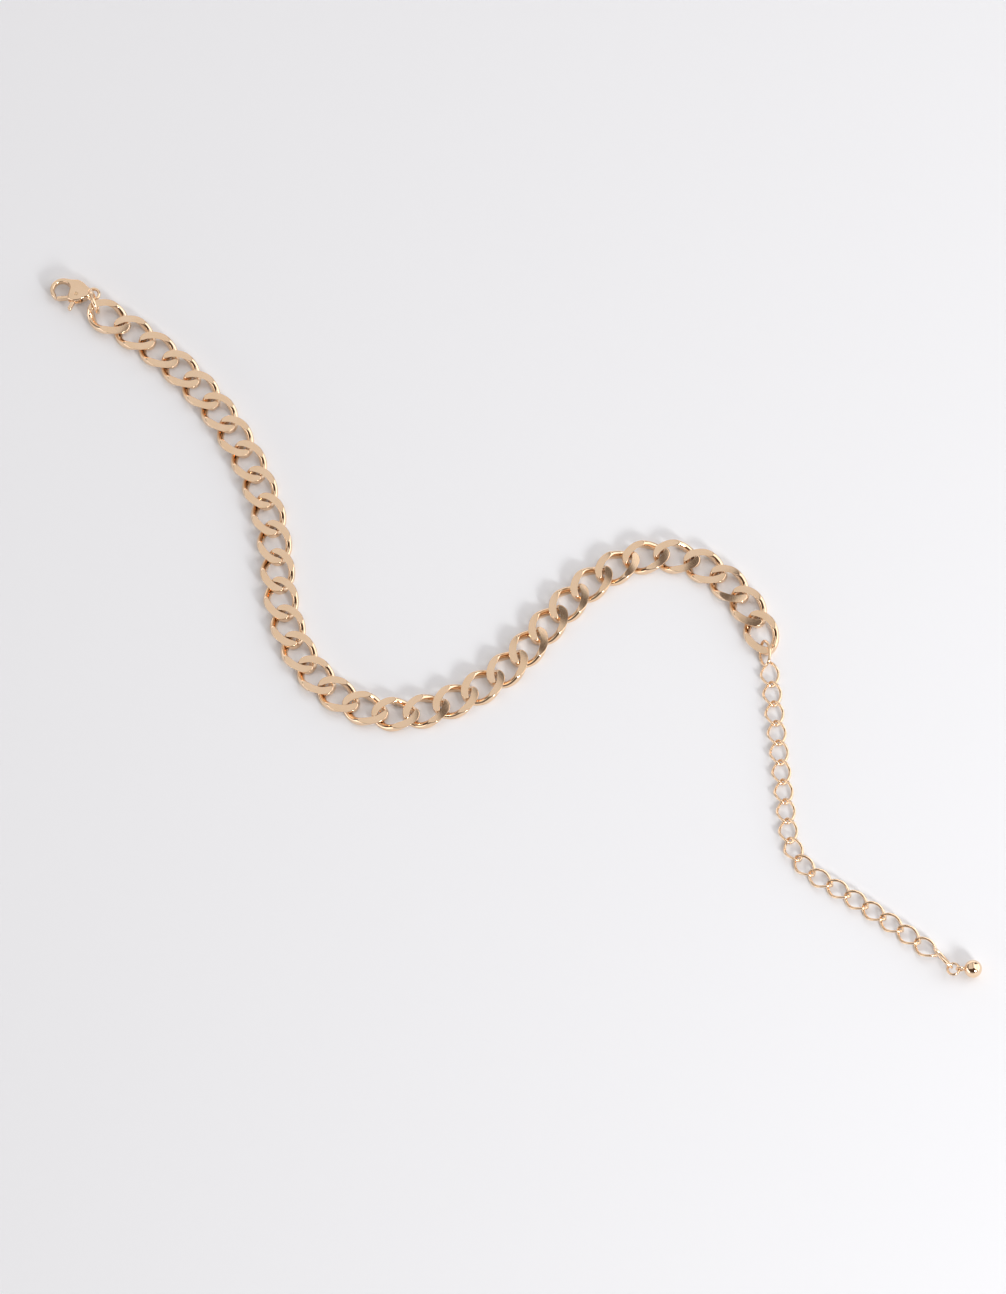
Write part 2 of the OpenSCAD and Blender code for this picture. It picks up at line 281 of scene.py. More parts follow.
FINISHES = {
    # Wire bent, ground and tumbled: bright sides, faintly frosted flats.
    "curb_plate": plate("rose_gold_plate_over_lapped_curb_links",
                        roughness=0.04, haze=0.05, waviness=0.003, wave_mm=1.6, lapped=0.0004),
    # Thin drawn wire: almost a mirror, its colour deeper because it faces itself.
    "extender_wire": plate("rose_gold_plate_over_drawn_wire",
                           roughness=0.08, haze=0.06, waviness=0.002, wave_mm=1.2),
    # The same wire a little thicker, and a touch smoother.
    "jump_ring": plate("rose_gold_plate_over_cut_jump_rings",
                       roughness=0.07, haze=0.06, waviness=0.002, wave_mm=1.2),
    # A spun ball is the smoothest piece: a true mirror.
    "ball": plate("rose_gold_plate_over_spun_ball",
                  roughness=0.04, haze=0.03, waviness=0.0015, wave_mm=2.0),
    # Cast, tumbled and plated: soft waves over the broad faces.
    "clasp": plate("rose_gold_plate_over_tumbled_casting",
                   roughness=0.10, haze=0.08, waviness=0.006, wave_mm=2.2),
    # Stamped sheet: flatter than the casting, so its reflections are straighter.
    "lever": plate("rose_gold_plate_over_stamped_lever",
                   roughness=0.09, haze=0.07, waviness=0.003, wave_mm=1.5),
    # Turned pin, thinly plated in its hole: a duller and deeper gold.
    "rivet": plate("rose_gold_plate_over_turned_rivet",
                   roughness=0.12, haze=0.08, waviness=0.002, wave_mm=0.8, colour="#EFCFA8"),
}
# Bare steel wire in the slot: a grey glint against the gold.
STEEL = plate("bright_spring_steel_wire",
              roughness=0.18, haze=0.08, waviness=0.001, wave_mm=0.5, colour="#D8D5D0", deep="#BDB8B2")
print("finishes:", len(FINISHES) + 1)

# %% [markdown]
# ## Where each link lies
#
# A link looks the same after a half turn about any of its three axes. So the middle of its
# CAD node is the middle of the link, and the directions in which its points spread most
# and least are its length and its thickness. That is enough to lay a finely made link
# over the plain one. The places could also be read off the joints, but a link at the
# end of a chain has only one.

# %% Placing on a CAD node
def points_of(node):
    """The CAD node's own points, in metres."""
    return np.array([v.co for v in frame["nodes"][node].data.vertices])


def lie_of(node):
    """A link's size, and a matrix from its own frame, x along it and z through it, to its place."""
    points = points_of(node)
    middle = (points.min(0) + points.max(0)) / 2
    axes = np.linalg.eigh(np.cov((points - middle).T))[1]
    along, across = Vector(axes[:, 2]), Vector(axes[:, 1])
    through = along.cross(across)
    if through.z < 0:
        across, through = -across, -through
    turn = Matrix((along, across, through)).transposed()
    local = (points - middle) @ np.array(turn)
    centre = Vector(middle) + turn @ Vector((local.min(0) + local.max(0)) / 2)
    return Matrix.Translation(centre) @ turn.to_4x4(), Vector(local.max(0) - local.min(0))


curb_names = sorted(n for n in frame["nodes"] if n.startswith("curb_link_"))
extender_names = sorted(n for n in frame["nodes"] if n.startswith("extender_link_"))
print("curb links:", len(curb_names), "size, mm:", [round(v / MM, 2) for v in lie_of(curb_names[1])[1]])
print("extender links:", len(extender_names))

# %% [markdown]
# ## The link, as Geometry Nodes
#
# Every link here is made the way a chain machine makes it. A wire is bent into an oval
# and soldered shut: round wire for the extender, and tall oval wire, standing on edge,
# for the curb links. The link is then twisted about the chain's line, so that its
# neighbours lie flat, and a curb link is ground on both faces. The same steps, in the
# same order, are one node tree whose inputs are the sizes. A modelled link with arrayed
# copies would be quicker, but each link is ground a little differently, and the tree
# gives each its own small tilt from its number.
#
# The oval is a superellipse: its x is a * cos(t) raised to 2 / form, and so for y.
# Grinding is a soft minimum of the height and a slightly crowned plane, and the soft
# part is the small rounded edge that tumbling leaves.

# %% The tree's inputs
link_tree = bpy.data.node_groups.new("bent_wire_link", "GeometryNodeTree")
LINK_INPUTS = {
    "Length": "NodeSocketFloat",
    "Width": "NodeSocketFloat",
    "Wire": "NodeSocketFloat",
    "Wire Height": "NodeSocketFloat",
    "Form": "NodeSocketFloat",
    "Twist": "NodeSocketFloat",
    "Half Thickness": "NodeSocketFloat",
    "Edge": "NodeSocketFloat",
    "Crown": "NodeSocketFloat",
    "Tilt": "NodeSocketFloat",
    "Seam": "NodeSocketFloat",
    "Rings": "NodeSocketInt",
    "Sides": "NodeSocketInt",
    "Number": "NodeSocketInt",
    "Finish": "NodeSocketMaterial",
}
LINK_SOCKETS = {}
for name, kind in LINK_INPUTS.items():
    LINK_SOCKETS[name] = link_tree.interface.new_socket(name, in_out="INPUT", socket_type=kind).identifier
link_tree.interface.new_socket("Geometry", in_out="OUTPUT", socket_type="NodeSocketGeometry")
given = add(link_tree, "NodeGroupInput").outputs

# %% The oval wire
OVAL_POINTS = 720

half_long = add(link_tree, "ShaderNodeMath", {0: given["Length"], 1: given["Wire"]}, operation="SUBTRACT")
half_long = add(link_tree, "ShaderNodeMath", {0: half_long.outputs[0], 1: 0.5},
                operation="MULTIPLY").outputs[0]
half_wide = add(link_tree, "ShaderNodeMath", {0: given["Width"], 1: given["Wire"]}, operation="SUBTRACT")
half_wide = add(link_tree, "ShaderNodeMath", {0: half_wide.outputs[0], 1: 0.5},
                operation="MULTIPLY").outputs[0]
power = add(link_tree, "ShaderNodeMath", {0: 2.0, 1: given["Form"]}, operation="DIVIDE").outputs[0]

circle = add(link_tree, "GeometryNodeCurvePrimitiveCircle", {"Resolution": OVAL_POINTS, "Radius": 1.0})
on_circle = add(link_tree, "ShaderNodeSeparateXYZ",
                {0: add(link_tree, "GeometryNodeInputPosition").outputs[0]})
oval_sides = []
for socket, reach in ((on_circle.outputs["X"], half_long), (on_circle.outputs["Y"], half_wide)):
    size_of = add(link_tree, "ShaderNodeMath", {0: socket}, operation="ABSOLUTE").outputs[0]
    sign_of = add(link_tree, "ShaderNodeMath", {0: socket}, operation="SIGN").outputs[0]
    raised = add(link_tree, "ShaderNodeMath", {0: size_of, 1: power}, operation="POWER").outputs[0]
    signed = add(link_tree, "ShaderNodeMath", {0: raised, 1: sign_of}, operation="MULTIPLY").outputs[0]
    oval_sides.append(add(link_tree, "ShaderNodeMath", {0: signed, 1: reach},
                          operation="MULTIPLY").outputs[0])
spots = add(link_tree, "ShaderNodeCombineXYZ", {0: oval_sides[0], 1: oval_sides[1]}).outputs[0]
oval = add(link_tree, "GeometryNodeSetPosition", {"Geometry": circle.outputs[0], "Position": spots})
even = add(link_tree, "GeometryNodeResampleCurve", {"Curve": oval.outputs[0], "Count": given["Rings"]})
run = add(link_tree, "GeometryNodeSplineParameter").outputs["Factor"]
marked = add(link_tree, "GeometryNodeStoreNamedAttribute",
             {"Geometry": even.outputs[0], "Name": "run", "Value": run},
             data_type="FLOAT", domain="POINT")

# The wire's section is a circle of diameter 1, stretched to the wire's two sizes.
section = add(link_tree, "GeometryNodeCurvePrimitiveCircle", {"Resolution": given["Sides"], "Radius": 0.5})
stretch = add(link_tree, "ShaderNodeCombineXYZ", {0: given["Wire"], 1: given["Wire Height"], 2: 1.0})
section = add(link_tree, "GeometryNodeTransform",
              {"Geometry": section.outputs[0], "Scale": stretch.outputs[0]})
wire = add(link_tree, "GeometryNodeCurveToMesh",
           {"Curve": marked.outputs[0], "Profile Curve": section.outputs[0]})

# %% The soldered seam
# Two cut ends meet half way along one side. The solder sinks a hair below the wire.
# Both values are shares of the way round the link.
SEAM_AT = 0.25
SEAM_HALF = 0.008

run_here = add(link_tree, "GeometryNodeInputNamedAttribute", {"Name": "run"}, data_type="FLOAT").outputs[0]
from_seam = add(link_tree, "ShaderNodeMath", {0: run_here, 1: SEAM_AT}, operation="SUBTRACT").outputs[0]
away = add(link_tree, "ShaderNodeMath", {0: from_seam}, operation="ABSOLUTE").outputs[0]
sunk = add(link_tree, "ShaderNodeMapRange", {0: away, 1: 0.0, 2: SEAM_HALF, 3: 1.0, 4: 0.0},
           interpolation_type="SMOOTHSTEP")
deep = add(link_tree, "ShaderNodeMath", {0: sunk.outputs[0], 1: given["Seam"]},
           operation="MULTIPLY").outputs[0]
inward = add(link_tree, "ShaderNodeMath", {0: deep, 1: -1.0}, operation="MULTIPLY").outputs[0]
normal = add(link_tree, "GeometryNodeInputNormal").outputs[0]
seam_offset = add(link_tree, "ShaderNodeVectorMath", {0: normal, "Scale": inward},
                  operation="SCALE").outputs[0]
soldered = add(link_tree, "GeometryNodeSetPosition", {"Geometry": wire.outputs[0], "Offset": seam_offset})

# %% The twist
place = add(link_tree, "GeometryNodeInputPosition").outputs[0]
flat_place = add(link_tree, "ShaderNodeSeparateXYZ", {0: place}).outputs
per_metre = add(link_tree, "ShaderNodeMath", {0: given["Twist"], 1: half_long},
                operation="DIVIDE").outputs[0]
turned = add(link_tree, "ShaderNodeMath", {0: flat_place["X"], 1: per_metre},
             operation="MULTIPLY").outputs[0]
against = add(link_tree, "ShaderNodeMath", {0: turned, 1: -1.0}, operation="MULTIPLY").outputs[0]
spots = add(link_tree, "ShaderNodeVectorRotate", {"Vector": place, "Angle": against},
            rotation_type="X_AXIS").outputs[0]
twisted = add(link_tree, "GeometryNodeSetPosition", {"Geometry": soldered.outputs[0], "Position": spots})

# %% The grinding
# The upper plane drops a little from the middle to the ends, and leans by the link's
# own random tilt. It never rises above half the thickness, so the link stays as thick
# as its CAD node at most. The lower face is ground level, because it lies on the floor.
TILT_SEED = 7

place = add(link_tree, "GeometryNodeInputPosition").outputs[0]
now = add(link_tree, "ShaderNodeSeparateXYZ", {0: place}).outputs
share = add(link_tree, "ShaderNodeMath", {0: now["X"], 1: half_long}, operation="DIVIDE").outputs[0]
square = add(link_tree, "ShaderNodeMath", {0: share, 1: share}, operation="MULTIPLY").outputs[0]
drop = add(link_tree, "ShaderNodeMath", {0: square, 1: given["Crown"]}, operation="MULTIPLY").outputs[0]
lean = add(link_tree, "FunctionNodeRandomValue",
           {0: (-1, -1, 0), 1: (1, 1, 0), "ID": given["Number"], "Seed": TILT_SEED},
           data_type="FLOAT_VECTOR").outputs[0]
lean = add(link_tree, "ShaderNodeVectorMath", {0: lean, "Scale": given["Tilt"]},
           operation="SCALE").outputs[0]
level = add(link_tree, "ShaderNodeCombineXYZ", {0: now["X"], 1: now["Y"]}).outputs[0]
rise = add(link_tree, "ShaderNodeVectorMath", {0: level, 1: lean}, operation="DOT_PRODUCT").outputs["Value"]
most = add(link_tree, "ShaderNodeVectorMath", {0: lean}, operation="LENGTH").outputs["Value"]
most = add(link_tree, "ShaderNodeMath", {0: most, 1: half_wide}, operation="MULTIPLY").outputs[0]
lowered = add(link_tree, "ShaderNodeMath", {0: given["Half Thickness"], 1: drop},
              operation="SUBTRACT").outputs[0]
lowered = add(link_tree, "ShaderNodeMath", {0: lowered, 1: most}, operation="SUBTRACT").outputs[0]
plane = add(link_tree, "ShaderNodeMath", {0: lowered, 1: rise}, operation="ADD").outputs[0]
upper = add(link_tree, "ShaderNodeMath", {0: plane, 1: given["Half Thickness"]},
            operation="MINIMUM").outputs[0]

ground_top = add(link_tree, "ShaderNodeMath", {0: now["Z"], 1: upper, 2: given["Edge"]},
                 operation="SMOOTH_MIN").outputs[0]
lower = add(link_tree, "ShaderNodeMath", {0: given["Half Thickness"], 1: -1.0},
            operation="MULTIPLY").outputs[0]
ground = add(link_tree, "ShaderNodeMath", {0: ground_top, 1: lower, 2: given["Edge"]},
             operation="SMOOTH_MAX").outputs[0]
ground_place = add(link_tree, "ShaderNodeCombineXYZ", {0: now["X"], 1: now["Y"], 2: ground}).outputs[0]

# Two attributes for the finish: where metal was taken off, and the place on the link.
taken_off = add(link_tree, "ShaderNodeMath", {0: now["Z"], 1: ground}, operation="SUBTRACT").outputs[0]
taken_off = add(link_tree, "ShaderNodeMath", {0: taken_off}, operation="ABSOLUTE").outputs[0]
lapped = add(link_tree, "ShaderNodeMapRange", {0: taken_off, 1: 0.0, 2: given["Edge"]}).outputs[0]
noted = add(link_tree, "GeometryNodeStoreNamedAttribute",
            {"Geometry": twisted.outputs[0], "Name": "lapped", "Value": lapped},
            data_type="FLOAT", domain="POINT")
noted = add(link_tree, "GeometryNodeStoreNamedAttribute",
            {"Geometry": noted.outputs[0], "Name": "link_place", "Value": level},
            data_type="FLOAT_VECTOR", domain="POINT")
faced = add(link_tree, "GeometryNodeSetPosition", {"Geometry": noted.outputs[0], "Position": ground_place})

# %% The tree's end
smooth = add(link_tree, "GeometryNodeSetShadeSmooth", {"Geometry": faced.outputs[0]})
real = add(link_tree, "GeometryNodeRealizeInstances", {"Geometry": smooth.outputs[0]})
dressed = add(link_tree, "GeometryNodeSetMaterial",
              {"Geometry": real.outputs[0], "Material": given["Finish"]})
add(link_tree, "NodeGroupOutput", {"Geometry": dressed.outputs[0]})
print("link tree nodes:", len(link_tree.nodes))

# %% From a tree to a plain piece
def grown(name, tree, sockets, values, lie):
    """Run a Geometry Nodes tree and keep the result as a plain mesh at its place."""
    seed = bpy.data.objects.new(name, bpy.data.meshes.new(name))
    scene.collection.objects.link(seed)
    modifier = seed.modifiers.new("grow", "NODES")
    modifier.node_group = tree
    for key, value in values.items():
        modifier[sockets[key]] = value
    evaluated = seed.evaluated_get(bpy.context.evaluated_depsgraph_get())
    mesh = bpy.data.meshes.new_from_object(evaluated)
    seed.modifiers.clear()
    mesh.transform(lie)
    seed.data = mesh
    return seed


def belongs(piece, body, slot, *nodes):
    """The piece moves with a body and stands for CAD nodes, which are hidden. Its slot is not used."""
    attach(piece, body)
    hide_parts(*nodes)


# %% [markdown]
# ## The curb links
#
# The main chain's links are heavy: wire 1.9 mm by 3.2 mm bent into ovals 13 mm long. Each
# is a piece of its own that rides on its own body, so the chain can be laid another way.

# %% Curb links
CURB = {
    "Length": 13.2 * MM,
    "Width": 9.6 * MM,
    "Wire": 1.9 * MM,
    "Wire Height": 3.2 * MM,
    "Form": 2.2,
    "Twist": math.radians(55),
    "Half Thickness": 1.45 * MM,
    "Edge": 0.42 * MM,
    "Crown": 0.20 * MM,
    "Tilt": math.tan(math.radians(2.8)),
    "Seam": 0.03 * MM,
    "Rings": 200,
    "Sides": 44,
    "Finish": FINISHES["curb_plate"],
}
for number, node in enumerate(curb_names):
    lie = lie_of(node)[0]
    values = dict(CURB, Number=number)
    link = grown(node.replace("curb_link", "curb"), link_tree, LINK_SOCKETS, values, lie)
    belongs(link, node, "curb_plate", node)
print("curb link faces:", len(link.data.polygons))

# %% [markdown]
# ## The extender links
#
# The extender's links are 0.8 mm wire, twisted as well but not ground, so they stay round
# in section: half the thickness is set so large that the grinding never meets the wire.
# The first and the last stand on edge and are not twisted at all.

# %% Extender links
EXTENDER = {
    "Length": 7.8 * MM,
    "Width": 5.5 * MM,
    "Wire": 0.8 * MM,
    "Wire Height": 0.8 * MM,
    "Form": 1.8,
    "Twist": math.radians(42),
    "Half Thickness": 10 * MM,
    "Edge": 0.01 * MM,
    "Crown": 0.0,
    "Tilt": 0.0,
    "Seam": 0.03 * MM,
    "Rings": 128,
    "Sides": 20,
    "Finish": FINISHES["extender_wire"],
}
for number, node in enumerate(extender_names):
    lie = lie_of(node)[0]
    on_edge = node in (extender_names[0], extender_names[-1])
    values = dict(EXTENDER, Number=number)
    if on_edge:
        values["Twist"] = 0.0
    link = grown(node.replace("extender_link", "extender"), link_tree, LINK_SOCKETS, values, lie)
    belongs(link, node, "extender_wire", node)
print("extender link faces:", len(link.data.polygons))

# %% [markdown]
# ## The two jump rings
#
# A jump ring is a round link that is cut, opened with pliers and closed again. The link
# tree makes it too: a circle is an oval of equal sides with a form of 2 and no twist.

# %% Jump rings
RINGS = {"clasp_ring": 1.0 * MM, "ball_ring": 0.7 * MM}
RING_SEAM = 0.05 * MM
for node, ring_wire in RINGS.items():
    lie, size = lie_of(node)
    values = dict(EXTENDER, Length=size.x, Width=size.x, Wire=ring_wire, Form=2.0, Twist=0.0)
    values.update({"Wire Height": ring_wire, "Seam": RING_SEAM, "Number": 0})
    values["Finish"] = FINISHES["jump_ring"]
    ring = grown(node.replace("ring", "jump_ring"), link_tree, LINK_SOCKETS, values, lie)
    belongs(ring, node, "jump_ring", node)
    print(node, "diameter, mm:", round(size.x / MM, 2))

# %% [markdown]
# ## Cast pieces as distance fields
#
# The clasp's body is an investment casting: shapes that run into each other in soft
# fillets, and edges that tumbling has rounded. Boxes and bevels make such a form badly.
# A distance field makes it easily. A function says how far any point is from the
# surface, negative inside, and unions, cuts and fillets are then minimums and
# maximums. The surface is where the field is zero. A small surface net finds it: one
# vertex in each cell that the surface passes through, and one face on each edge that
# it crosses. The vertices are then moved onto the exact surface.
# Lengths in this part are millimetres, in the clasp's own frame.

# %% Field shapes
def disc(p, centre, radius):
    """A round disc in the xy plane, endless in z."""
    return np.hypot(p[0] - centre[0], p[1] - centre[1]) - radius


def capsule(p, start, end, radius):
    """A straight bar with round ends in the xy plane, endless in z."""
    along = np.subtract(end, start)
    share = ((p[0] - start[0]) * along[0] + (p[1] - start[1]) * along[1]) / along.dot(along)
    share = np.clip(share, 0, 1)
    return np.hypot(p[0] - start[0] - share * along[0], p[1] - start[1] - share * along[1]) - radius


def plate_of(outline, height, half, edge):
    """An outline given a thickness, with its edges rounded to a radius."""
    out, over = outline + edge, np.abs(height) - half + edge
    corner = np.hypot(np.maximum(out, 0), np.maximum(over, 0))
    return np.minimum(np.maximum(out, over), 0) + corner - edge


def joined(a, b, fillet):
    """The union of two shapes with a fillet between them."""
    blend = np.maximum(fillet - np.abs(a - b), 0) / fillet
    return np.minimum(a, b) - blend * blend * fillet / 4


def cut(a, b, fillet):
    """The first shape less the second, the new edge rounded."""
    return -joined(-a, b, fillet)


# %% Surface net
def surface_net(field, low, high, step):
    """Vertices and outward faces of the surface on which a field is zero."""
    spans = [np.arange(low[i], high[i] + step, step) for i in range(3)]
    grid = np.stack(np.meshgrid(*spans, indexing="ij"))
    value = field(grid)
    inside = value < 0
    cells = tuple(n - 1 for n in value.shape)
    total = np.zeros((3,) + cells)
    count = np.zeros(cells)
    for axis in range(3):
        first = [slice(None)] * 3
        second = [slice(None)] * 3
        first[axis], second[axis] = slice(None, -1), slice(1, None)
        a, b = value[tuple(first)], value[tuple(second)]
        crossed = (a < 0) != (b < 0)
        share = np.where(crossed, a / np.where(crossed, a - b, 1), 0)
        others = [i for i in range(3) if i != axis]
        for shift in ((0, 0), (0, 1), (1, 0), (1, 1)):
            part = [slice(None)] * 3
            for other, offset in zip(others, shift):
                part[other] = slice(offset, offset + cells[other])
            hit = crossed[tuple(part)]
            spot = np.stack([g[tuple(first)][tuple(part)] for g in grid])
            spot[axis] += step * share[tuple(part)]
            total += spot * hit
            count += hit
    used = count > 0
    index = np.full(cells, -1)
    index[used] = np.arange(used.sum())
    points = (total[:, used] / count[used]).T
    faces = []
    for axis in range(3):
        u, v = (axis + 1) % 3, (axis + 2) % 3
        first = [slice(1, -1)] * 3
        second = [slice(1, -1)] * 3
        first[axis], second[axis] = slice(None, -1), slice(1, None)
        a, b = inside[tuple(first)], inside[tuple(second)]
        for here, order in ((a & ~b, 1), (b & ~a, -1)):
            at = np.argwhere(here)
            at[:, u] += 1
            at[:, v] += 1
            quad = []
            for du, dv in ((1, 1), (0, 1), (0, 0), (1, 0)):
                cell = at.copy()
                cell[:, u] -= du
                cell[:, v] -= dv
                quad.append(index[tuple(cell.T)])
            faces.append(np.stack(quad[::order], axis=1))
    return points, np.concatenate(faces)


LEAST_SLOPE = 0.2  # squared: a weaker slope would throw a point too far


def settled(field, points, step, rounds=3):
    """Move points onto the field's zero surface along its slope."""
    reach = step / 10
    for _ in range(rounds):
        p = points.T
        rises = [field(p + d[:, None]) - field(p - d[:, None]) for d in np.eye(3) * reach]
        slope = np.stack(rises) / (2 * reach)
        move = field(p) * slope / np.maximum((slope ** 2).sum(0), LEAST_SLOPE)
        points = (p - np.clip(move, -step, step)).T
    return points


def cast(name, field, low, high, step, lie, material):
    """A closed piece from a field, laid at its place in metres."""
    points, faces = surface_net(field, low, high, step)
    points = settled(field, points, step)
    mesh = bpy.data.meshes.new(name)
    mesh.from_pydata((points * MM).tolist(), [], faces.tolist())
    mesh.shade_smooth()
    mesh.materials.append(material)
    mesh.transform(lie)
    piece = bpy.data.objects.new(name, mesh)
    scene.collection.objects.link(piece)
    print(name, "faces:", len(faces))
    return piece


# %% [markdown]
# ## The trigger clasp
#
# The clasp is flat: an eye that the jump ring goes through, a full body, and a hook that
# bows round to meet the lever. The lever turns on a rivet in a slot, a coil spring holds
# its gate shut, and its tab stands out of the side for the thumbnail. Two joints give
# the clasp's frame: the swivel is at the eye's middle and the lever's hinge is at the
# rivet, with its axis through the clasp's thickness.

# %% The clasp's frame
REACH = 8.7
PIVOT = (REACH / 2, 1.1)

joints = {joint["name"]: joint for joint in frame["joints"]}
eye_at = Vector(joints["clasp_swivel"]["pos_m"])
rivet_at = Vector(joints["lever_hinge"]["pos_m"])
through = Vector(joints["lever_hinge"]["axis"]).normalized()
to_rivet = (rivet_at - eye_at).normalized()
swing = Matrix.Rotation(-math.atan2(PIVOT[1], PIVOT[0]), 3, through)
along = swing @ to_rivet
across = through.cross(along)
clasp_lie = Matrix.Translation(eye_at) @ Matrix((along, across, through)).transposed().to_4x4()
print("eye to rivet, mm:", round((rivet_at - eye_at).length / MM, 2), "drawn:", round(math.hypot(*PIVOT), 2))

# %% The cast body
BOW_R = 3.3
MOUTH_R = 2.15
BELLY_X = REACH / 2 + 0.5
BODY_R = 3.15
BODY_HALF = 1.6
BOW_HALF = 1.15
THINNING = (5.5, 4.5)  # where the clasp starts to thin towards the bow, and over what length
DOME = 0.16
DOME_MOST = 0.2
FACE_EDGE = 0.42
SPINE_R = 0.8
SPINE_INSET = (0.95, 0.85)  # from the bow's outside, at the body and at the bow
NECK_R = 1.45
NECK = ((1.9, 0), (3.6, 0))
EYE_R = 2.0
EYE_HOLE_R = 1.15
EYE_HALF = 0.55
EYE_EDGE = 0.4
SLOT_HALF = 0.75
SLOT_LOW, SLOT_START, SLOT_END = -0.7, 2.55, 8.1
SLOT_EDGE = 0.1
RIVET_HOLE_R = 0.47
GATE_R = 0.5
GATE_GAP = 0.1
GATE_SIDE = 0.7
GATE_START = REACH / 2 + 2.3
GATE_ANGLE = math.radians(80)  # round the bow, from straight on
bow_mid = (BOW_R + MOUTH_R) / 2
gate_end = (REACH + bow_mid * math.cos(GATE_ANGLE), bow_mid * math.sin(GATE_ANGLE))
gate_reach = math.hypot(gate_end[0] - PIVOT[0], gate_end[1] - PIVOT[1]) + GATE_R


def clasp_field(p):
    """The cast body: eye, neck, full body and bow, with the lever's slot cut in."""
    bow = disc(p, (REACH, 0), BOW_R)
    belly = disc(p, (BELLY_X, 0), BODY_R)
    spine = capsule(p, (BELLY_X, -BOW_R + SPINE_INSET[0]), (REACH, -BOW_R + SPINE_INSET[1]), SPINE_R)
    neck = capsule(p, *NECK, NECK_R)
    outline = joined(joined(bow, spine, fillet=0.3), joined(belly, neck, fillet=1.2), fillet=0.5)
    outline = cut(outline, disc(p, (REACH, 0), MOUTH_R), fillet=0.3)
    gate = np.maximum(disc(p, PIVOT, gate_reach + GATE_GAP), GATE_SIDE - p[1])
    gate = np.maximum(gate, GATE_START - p[0])
    outline = cut(outline, gate, fillet=0.25)

    # thick at the body, thinner at the bow, and domed like a pebble
    share = np.clip((p[0] - THINNING[0]) / THINNING[1], 0, 1)
    half = BODY_HALF + (BOW_HALF - BODY_HALF) * share * share * (3 - 2 * share)
    dome = DOME * ((p[0] - BELLY_X) ** 2 + p[1] ** 2) / BODY_R ** 2
    half = half - np.minimum(dome, DOME_MOST)
    solid = plate_of(outline, p[2], half, FACE_EDGE)

    slot = np.maximum(SLOT_LOW - p[1], np.maximum(SLOT_START - p[0], p[0] - SLOT_END))
    solid = cut(solid, plate_of(slot, p[2], SLOT_HALF, SLOT_EDGE), fillet=0.12)
    eye = np.abs(disc(p, (0, 0), (EYE_R + EYE_HOLE_R) / 2)) - (EYE_R - EYE_HOLE_R) / 2
    solid = joined(solid, plate_of(eye, p[2], EYE_HALF, EYE_EDGE), fillet=0.35)
    solid = cut(solid, disc(p, (0, 0), EYE_HOLE_R), fillet=0.2)
    return np.maximum(solid, RIVET_HOLE_R - disc(p, PIVOT, 0))


CLASP_STEP = 0.075
CLASP_BOX = ((-2.2, -3.6, -1.8), (12.2, 3.6, 1.8))
body = cast("clasp_casting", clasp_field, *CLASP_BOX, CLASP_STEP, clasp_lie, FINISHES["clasp"])
belongs(body, "clasp_body", "clasp", "clasp_body")

# %% The lever
LEVER_HALF = 0.7
LEVER_EDGE = 0.2
HUB_R = 1.5
LEVER_HOLE_R = 0.5
RECESS_R = 1.3
RECESS_FLOOR = -0.1
CUT_EDGE = 0.05
GATE_ROOT = (PIVOT[0] + 0.6, PIVOT[1] + 0.6)
TAB_END = (REACH / 2 + 1.2, BODY_R + 2)
LEVER_STEP = 0.06
LEVER_BOX = ((2.5, -0.8, -1.0), (10.2, 6.0, 1.0))


def lever_field(p):
    """The lever: a hub on the rivet, the gate that shuts the hook, and the thumb tab."""
    hub = disc(p, PIVOT, HUB_R)
    gate = capsule(p, GATE_ROOT, gate_end, GATE_R)
    tab = capsule(p, PIVOT, TAB_END, GATE_R)
    outline = joined(joined(hub, gate, fillet=0.4), tab, fillet=0.5)
    solid = plate_of(outline, p[2], LEVER_HALF, LEVER_EDGE)
    solid = cut(solid, disc(p, PIVOT, LEVER_HOLE_R), CUT_EDGE)
    recess = np.maximum(disc(p, PIVOT, RECESS_R), RECESS_FLOOR - p[2])
    return cut(solid, recess, CUT_EDGE)


lever = cast("trigger_lever", lever_field, *LEVER_BOX, LEVER_STEP, clasp_lie, FINISHES["lever"])
belongs(lever, "clasp_lever", "lever", "clasp_lever")

# %% The rivet
RIVET_R = 0.45
RIVET_INSET = 0.02  # from the clasp's faces
RIVET_EDGE = 0.08
RIVET_STEP = 0.05
RIVET_BOX_HALF = (0.6, 0.6, 1.8)


def rivet_field(p):
    """A plain pin with softly rounded ends, nearly flush with the clasp's faces."""
    return plate_of(disc(p, PIVOT, RIVET_R), p[2], BODY_HALF - RIVET_INSET, RIVET_EDGE)


low = [at - half for at, half in zip((*PIVOT, 0), RIVET_BOX_HALF)]
high = [at + half for at, half in zip((*PIVOT, 0), RIVET_BOX_HALF)]
rivet = cast("lever_rivet", rivet_field, low, high, RIVET_STEP, clasp_lie, FINISHES["rivet"])
belongs(rivet, "clasp_body", "rivet", "clasp_pin_and_spring")

# %% [markdown]
# ## The spring
#
# A torsion spring of thin steel wire sits round the rivet, in the lever's round recess.
# It is a wire that follows a helix, so a short node tree makes it: a spiral, and a
# round section swept along it.

# %% Spring
TURN_POINTS = 40
SECTION_POINTS = 10

